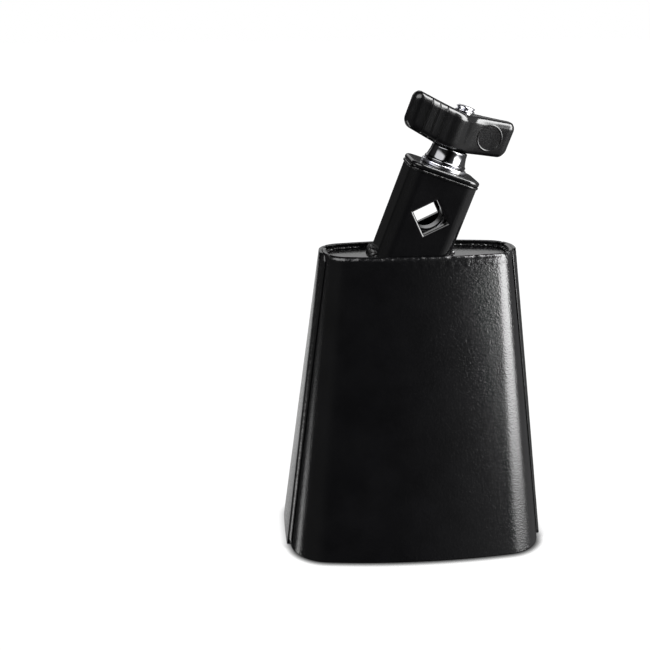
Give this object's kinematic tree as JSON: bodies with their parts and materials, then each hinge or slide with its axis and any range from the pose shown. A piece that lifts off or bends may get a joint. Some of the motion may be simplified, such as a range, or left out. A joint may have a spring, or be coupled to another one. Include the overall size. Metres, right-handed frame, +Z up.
{
  "type": "cowbell",
  "caption": "Flared steel cowbell struck with a stick, with a leaning clamp bracket on its crown and a wing nut that draws an eye bolt onto a holder rod.",
  "frame": {"origin": "centre of the bell's mouth, on the surface it stands on", "axes": "+Z up from the mouth to the clamp, +X to the right along the wide side, the front face looks towards -Y"},
  "size_m": [0.1116, 0.0638, 0.1906],
  "materials": {
    "powder_coat": "black satin powder coat with a fine orange-peel texture",
    "painted_weld": "weld beads under black powder coat, bumpy and glossier",
    "bright_zinc": "bright zinc plate",
    "black_chrome": "polished black chrome",
    "black_plastic": "moulded black plastic, fine texture, glossy at the edges"
  },
  "bodies": {
    "bell": {"front_shell": "powder_coat", "rear_shell": "powder_coat", "left_seam_weld": "painted_weld", "right_seam_weld": "painted_weld", "crown_plate": "powder_coat", "crown_weld": "painted_weld", "bracket_tube": "powder_coat", "left_foot_weld": "painted_weld", "right_foot_weld": "painted_weld", "bracket_cap": "powder_coat", "cap_weld": "painted_weld"},
    "eye_bolt": {"eye_bolt": "bright_zinc"},
    "washer": {"flat_washer": "bright_zinc"},
    "wing_nut": {"nut_hub": "black_chrome", "wing_handle": "black_plastic"}
  },
  "joints": [
    {"name": "wing_nut_turn", "type": "hinge", "parent": "bell", "child": "wing_nut", "pos_m": [0.01125, 0, 0.16554], "axis": [0.3387, 0, 0.9409], "range_deg": [-690, 420]},
    {"name": "eye_bolt_draw", "type": "slide", "parent": "bell", "child": "eye_bolt", "axis": [0.3387, 0, 0.9409], "range_m": [-0.0015, 0.0025]},
    {"name": "washer_turn", "type": "hinge", "parent": "bell", "child": "washer", "pos_m": [0.00949, 0, 0.16065], "axis": [0.3387, 0, 0.9409], "continuous": true}
  ],
  "couplings": [
    {"joint": "wing_nut_turn", "follows": "eye_bolt_draw", "rad_per_m": -4452.7}
  ]
}
